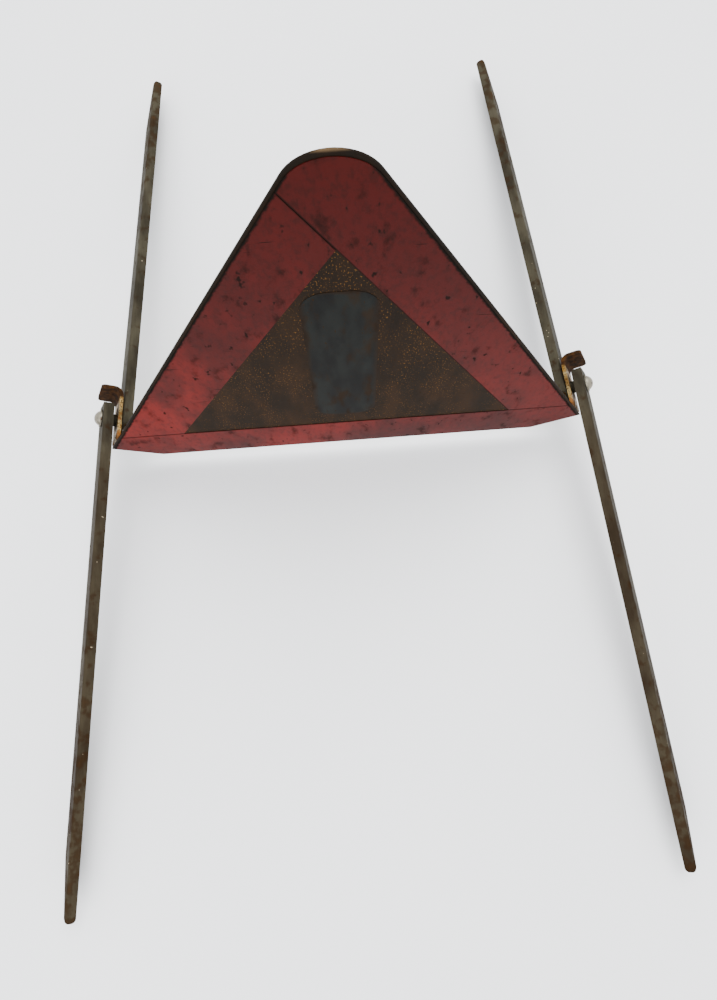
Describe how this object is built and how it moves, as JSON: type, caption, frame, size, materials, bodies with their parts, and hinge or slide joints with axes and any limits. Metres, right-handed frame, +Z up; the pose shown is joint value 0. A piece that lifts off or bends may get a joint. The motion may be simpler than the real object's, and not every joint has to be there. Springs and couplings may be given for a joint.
{
  "type": "folding warning triangle",
  "caption": "Free-standing folding breakdown triangle: a sheet-metal triangle with red reflective strips on four riveted folding legs.",
  "frame": {"origin": "on the floor, midway between the left and right leg pivots", "axes": "+Z up, the reflective face looks along -Y, +X is on the right of someone who looks at the face"},
  "size_m": [0.529, 0.8328, 0.3883],
  "materials": {
    "rusty_plate": "weathered paint with rust",
    "red_tape": "aged retroreflective film",
    "grey_mark": "worn matt paint",
    "zinc_bracket": "aged zinc plating",
    "zinc_rivet": "zinc plating",
    "zinc_spacer": "zinc plating",
    "zinc_washer": "zinc plating",
    "zinc_leg": "aged zinc plating"
  },
  "bodies": {
    "sign": {"sign_plate": "rusty_plate", "tape_left": "red_tape", "tape_right": "red_tape", "tape_bottom": "red_tape", "centre_mark": "grey_mark", "bracket_left": "zinc_bracket", "bracket_rivets_left": "zinc_rivet", "pivot_rivet_left": "zinc_rivet", "spacer_left": "zinc_spacer", "outer_washer_left": "zinc_washer", "inner_washer_left": "zinc_washer", "rear_washer_left": "zinc_washer", "bracket_right": "zinc_bracket", "bracket_rivets_right": "zinc_rivet", "pivot_rivet_right": "zinc_rivet", "spacer_right": "zinc_spacer", "outer_washer_right": "zinc_washer", "inner_washer_right": "zinc_washer", "rear_washer_right": "zinc_washer"},
    "leg_front_left": {"leg_front_left": "zinc_leg"},
    "leg_front_right": {"leg_front_right": "zinc_leg"},
    "leg_rear_left": {"leg_rear_left": "zinc_leg"},
    "leg_rear_right": {"leg_rear_right": "zinc_leg"}
  },
  "joints": [
    {"name": "leg_front_right_fold", "type": "hinge", "parent": "sign", "child": "leg_front_right", "pos_m": [0.21948, 0.00064, 0.05915], "axis": [-0.8905, -0.0332, -0.4537], "range_deg": [0, 98]},
    {"name": "leg_rear_right_fold", "type": "hinge", "parent": "sign", "child": "leg_rear_right", "pos_m": [0.20525, -0.00025, 0.0519], "axis": [0.8883, 0.0785, 0.4526], "range_deg": [0, 94]},
    {"name": "leg_front_left_fold", "type": "hinge", "parent": "sign", "child": "leg_front_left", "pos_m": [-0.21948, 0.00064, 0.05915], "axis": [-0.8905, 0.0332, 0.4537], "range_deg": [0, 98]},
    {"name": "leg_rear_left_fold", "type": "hinge", "parent": "sign", "child": "leg_rear_left", "pos_m": [-0.20525, -0.00025, 0.0519], "axis": [0.8883, -0.0785, -0.4526], "range_deg": [0, 94]}
  ]
}
